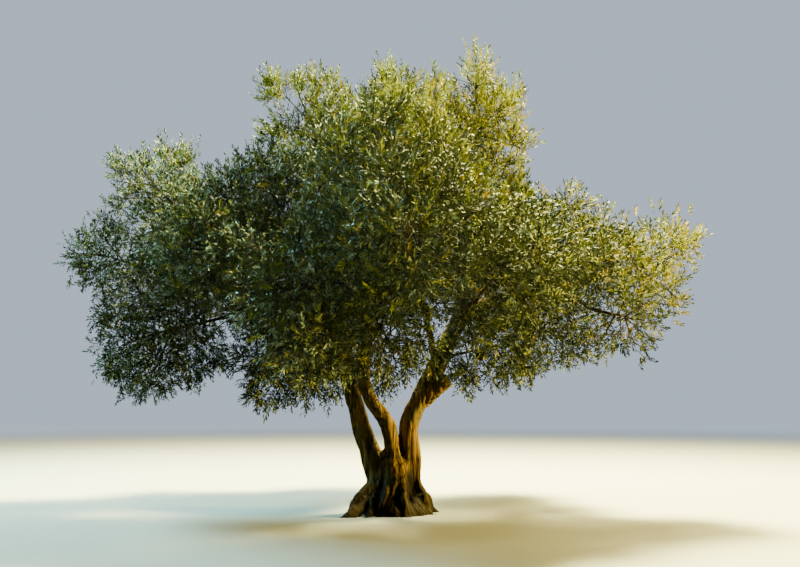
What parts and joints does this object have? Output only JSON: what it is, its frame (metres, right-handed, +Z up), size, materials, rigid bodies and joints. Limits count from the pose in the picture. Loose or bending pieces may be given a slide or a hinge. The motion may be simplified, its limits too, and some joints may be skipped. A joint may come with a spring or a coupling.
{
  "type": "olive tree",
  "caption": "Old open-grown olive tree: short fluted trunk with root buttresses, forking low into three stems, under a broad rounded crown of grey-green leaves.",
  "frame": {"origin": "on the ground, at the middle of the flat cut under the trunk", "axes": "+Z up, +X to the right along the crown's longest spread, +Y away from a viewer in front"},
  "size_m": [8.1977, 6.8847, 6.2002],
  "materials": {
    "bark": "rough, fissured grey-brown bark with golden-brown ridges",
    "young_bark": "matt, finely cracked grey bark",
    "foliage": "leathery leaves, grey-green above and silvery beneath"
  },
  "bodies": {
    "root": {"trunk": "bark", "left_stem": "bark", "middle_stem": "bark", "right_stem": "bark", "left_tip_bough": "young_bark", "left_shoulder_bough": "young_bark", "left_skirt_bough": "young_bark", "left_front_bough": "young_bark", "left_back_bough": "young_bark", "low_left_bough": "young_bark", "mid_left_bough": "young_bark", "upper_left_bough": "young_bark", "top_mid_bough": "young_bark", "top_right_bough": "young_bark", "top_spire_bough": "young_bark", "upper_right_bough": "young_bark", "right_inner_bough": "young_bark", "right_tip_bough": "young_bark", "right_skirt_bough": "young_bark", "right_low_bough": "young_bark", "low_right_bough": "young_bark", "front_left_bough": "young_bark", "front_mid_bough": "young_bark", "front_right_bough": "young_bark", "front_upper_bough": "young_bark", "front_low_bough": "young_bark", "back_left_bough": "young_bark", "back_mid_bough": "young_bark", "back_right_bough": "young_bark", "back_upper_bough": "young_bark", "back_low_bough": "young_bark", "left_tip_foliage": "foliage", "left_shoulder_foliage": "foliage", "left_skirt_foliage": "foliage", "left_front_foliage": "foliage", "left_back_foliage": "foliage", "low_left_foliage": "foliage", "mid_left_foliage": "foliage", "upper_left_foliage": "foliage", "top_mid_foliage": "foliage", "top_right_foliage": "foliage", "top_spire_foliage": "foliage", "upper_right_foliage": "foliage", "right_inner_foliage": "foliage", "right_tip_foliage": "foliage", "right_skirt_foliage": "foliage", "right_low_foliage": "foliage", "low_right_foliage": "foliage", "front_left_foliage": "foliage", "front_mid_foliage": "foliage", "front_right_foliage": "foliage", "front_upper_foliage": "foliage", "front_low_foliage": "foliage", "back_left_foliage": "foliage", "back_mid_foliage": "foliage", "back_right_foliage": "foliage", "back_upper_foliage": "foliage", "back_low_foliage": "foliage"}
  },
  "joints": []
}
